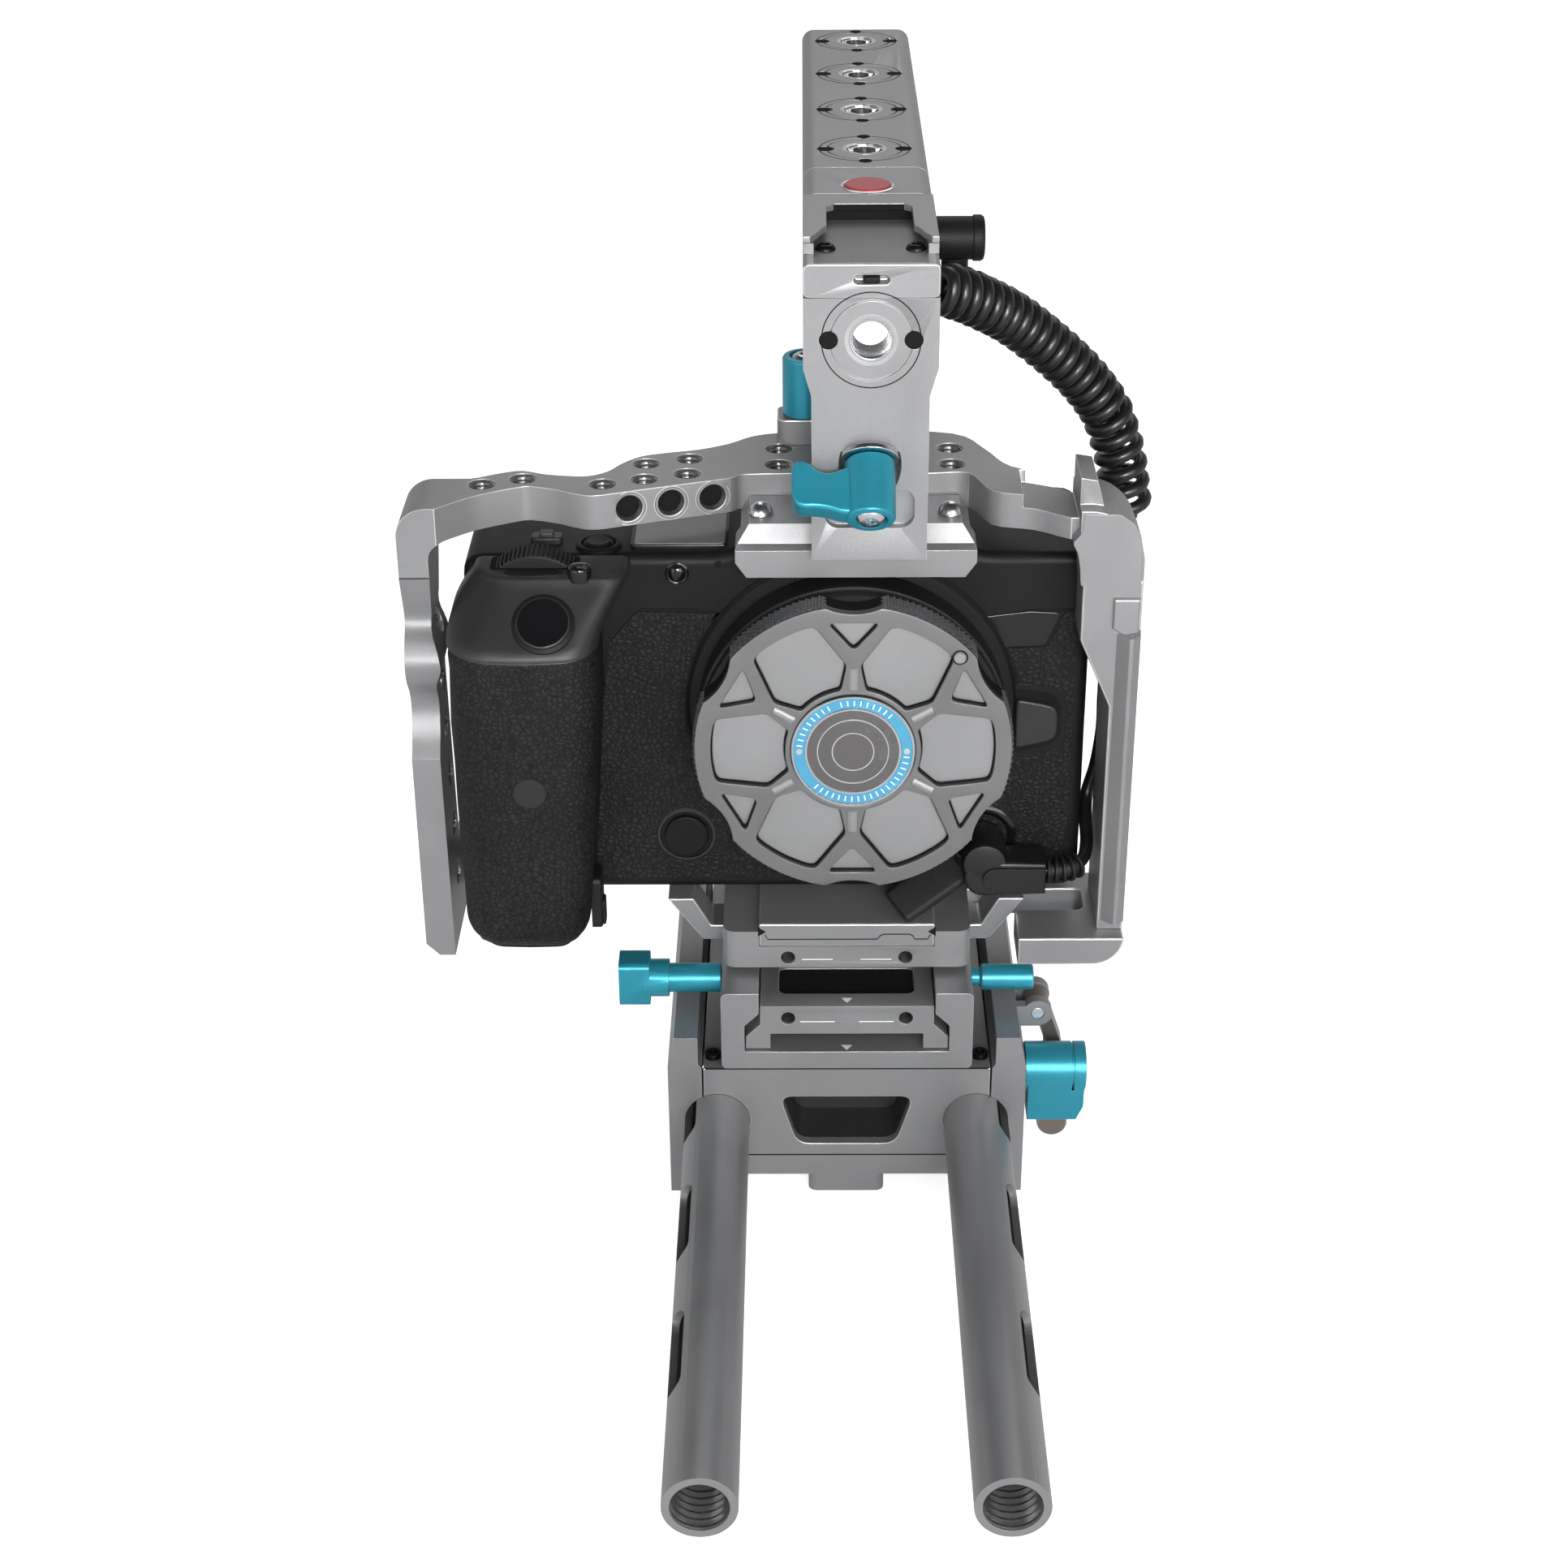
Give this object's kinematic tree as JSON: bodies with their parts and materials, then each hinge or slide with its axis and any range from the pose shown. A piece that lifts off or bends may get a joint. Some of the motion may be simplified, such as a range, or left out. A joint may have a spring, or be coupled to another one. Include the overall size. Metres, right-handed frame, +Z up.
{
  "type": "cinema camera rig",
  "caption": "Mirrorless camera in a half cage on a sliding quick-release base, with round rods in front, a twist-on lens mount cap and a top handle with a curly trigger cord.",
  "frame": {"origin": "mouth of the tripod thread, in the middle of the base on the surface the rig stands on", "axes": "+X to the right seen from the lens side, +Y away from the lens side, +Z up"},
  "size_m": [0.165, 0.321, 0.2266],
  "materials": {
    "anodised_grey": "bead-blasted grey anodised",
    "rod_grey": "dark grey anodised",
    "steel": "bright turned",
    "teal_anodised": "blue-green anodised",
    "bronze_anodised": "bronze anodised",
    "camera_black": "fine satin texture",
    "grip_rubber": "pebbled",
    "cord_rubber": "satin",
    "red_button": "satin",
    "black_steel": "black oxide"
  },
  "bodies": {
    "base": {"base_block": "anodised_grey", "base_floor": "anodised_grey", "rod_jaw_left": "anodised_grey", "rod_jaw_right": "anodised_grey", "receiver": "anodised_grey", "release_pin": "steel", "base_screws": "black_steel"},
    "rod_left": {"rod_left": "rod_grey"},
    "rod_right": {"rod_right": "rod_grey"},
    "rod_clamp": {"clamp_screw": "steel", "clamp_lever": "teal_anodised"},
    "plate_knob": {"side_stud": "steel", "side_knob": "teal_anodised"},
    "lock_button": {"lock_button": "teal_anodised"},
    "release_lever": {"release_lever": "bronze_anodised"},
    "camera_stage": {"slide_plate": "anodised_grey", "riser_plate": "anodised_grey", "camera_plate": "anodised_grey", "camera_screw": "steel", "riser_braces": "anodised_grey", "camera_body": "camera_black", "hand_grip": "grip_rubber", "lens_mount": "steel", "eyecup": "grip_rubber", "port_flap": "grip_rubber", "cage_left_arm": "anodised_grey", "cage_right_arm": "anodised_grey", "cage_top": "anodised_grey", "cage_bottom": "anodised_grey", "front_block": "anodised_grey", "block_screws": "steel", "rear_clamp_block": "anodised_grey", "handle_post": "anodised_grey", "shoe_block": "anodised_grey", "cold_shoe": "rod_grey", "trigger_housing": "anodised_grey", "handle_grip": "anodised_grey", "handle_washer": "steel", "cord_socket": "cord_rubber", "cord_coil": "cord_rubber", "cord_lead": "cord_rubber", "cord_plug": "cord_rubber"},
    "lens_cap": {"lens_cap": "anodised_grey", "cap_ring": "grip_rubber", "cap_medallion": "teal_anodised"},
    "shutter_button": {"shutter_button": "camera_black"},
    "function_button": {"function_button": "camera_black"},
    "top_button": {"top_button": "camera_black"},
    "main_dial": {"main_dial": "camera_black"},
    "lens_release": {"lens_release": "camera_black"},
    "preview_button": {"preview_button": "camera_black"},
    "rear_screen": {"rear_screen": "camera_black"},
    "battery_door": {"battery_door": "camera_black"},
    "rear_lever": {"rear_lever": "teal_anodised"},
    "handle_lever": {"handle_lever": "teal_anodised"},
    "record_button": {"record_button": "red_button"},
    "mode_switch": {"mode_switch": "camera_black"}
  },
  "joints": [
    {"name": "rod_left_slide", "type": "slide", "parent": "base", "child": "rod_left", "axis": [0, 1, 0], "range_m": [-0.05, 0.012]},
    {"name": "rod_right_slide", "type": "slide", "parent": "base", "child": "rod_right", "axis": [0, 1, 0], "range_m": [-0.05, 0.012]},
    {"name": "clamp_lever_turn", "type": "hinge", "parent": "base", "child": "rod_clamp", "pos_m": [0.0412, -0.037, 0.03], "axis": [1, 0, 0], "range_deg": [-75, 5]},
    {"name": "side_knob_turn", "type": "hinge", "parent": "base", "child": "plate_knob", "pos_m": [-0.04, -0.03, 0.05], "axis": [1, 0, 0], "continuous": true},
    {"name": "lock_button_push", "type": "slide", "parent": "base", "child": "lock_button", "axis": [1, 0, 0], "range_m": [-0.002, 0], "stiffness_N_per_m": 200},
    {"name": "release_lever_swing", "type": "hinge", "parent": "base", "child": "release_lever", "pos_m": [0.0446, -0.0265, 0.041], "axis": [0, 1, 0], "range_deg": [-70, 0]},
    {"name": "stage_slide", "type": "slide", "parent": "base", "child": "camera_stage", "axis": [0, 1, 0], "range_m": [-0.012, 0.012]},
    {"name": "lens_cap_twist", "type": "hinge", "parent": "camera_stage", "child": "lens_cap", "pos_m": [0.001, -0.03, 0.1156], "axis": [0, -1, 0], "range_deg": [0, 60]},
    {"name": "shutter_press", "type": "slide", "parent": "camera_stage", "child": "shutter_button", "axis": [0, -0.7295, 0.6839], "range_m": [-0.0008, 0], "stiffness_N_per_m": 200},
    {"name": "function_press", "type": "slide", "parent": "camera_stage", "child": "function_button", "axis": [0, 0, 1], "range_m": [-0.0006, 0], "stiffness_N_per_m": 200},
    {"name": "top_button_press", "type": "slide", "parent": "camera_stage", "child": "top_button", "axis": [0, 0, 1], "range_m": [-0.0006, 0], "stiffness_N_per_m": 200},
    {"name": "main_dial_turn", "type": "hinge", "parent": "camera_stage", "child": "main_dial", "pos_m": [-0.0675, -0.0242, 0.1432], "axis": [0, 1, 0], "continuous": true},
    {"name": "lens_release_press", "type": "slide", "parent": "camera_stage", "child": "lens_release", "axis": [0, 1, 0], "range_m": [0, 0.0012], "stiffness_N_per_m": 200},
    {"name": "preview_press", "type": "slide", "parent": "camera_stage", "child": "preview_button", "axis": [0, 1, 0], "range_m": [0, 0.0008], "stiffness_N_per_m": 200},
    {"name": "screen_swing", "type": "hinge", "parent": "camera_stage", "child": "rear_screen", "pos_m": [0.0515, 0.0195, 0.107], "axis": [0, 0, -1], "range_deg": [0, 120]},
    {"name": "battery_door_swing", "type": "hinge", "parent": "camera_stage", "child": "battery_door", "pos_m": [-0.0825, -0.031, 0.0664], "axis": [0, 1, 0], "range_deg": [0, 85]},
    {"name": "rear_lever_turn", "type": "hinge", "parent": "camera_stage", "child": "rear_lever", "pos_m": [-0.009, 0.011, 0.175], "axis": [0, 0, 1], "range_deg": [-120, 120]},
    {"name": "handle_lever_turn", "type": "hinge", "parent": "camera_stage", "child": "handle_lever", "pos_m": [0.0042, -0.0355, 0.181], "axis": [0, -0.766, -0.6428], "range_deg": [-100, 0]},
    {"name": "record_press", "type": "slide", "parent": "camera_stage", "child": "record_button", "axis": [0, 0, 1], "range_m": [-0.0008, 0], "stiffness_N_per_m": 200},
    {"name": "mode_switch_slide", "type": "slide", "parent": "camera_stage", "child": "mode_switch", "axis": [1, 0, 0], "range_m": [-0.0015, 0.0015]}
  ]
}
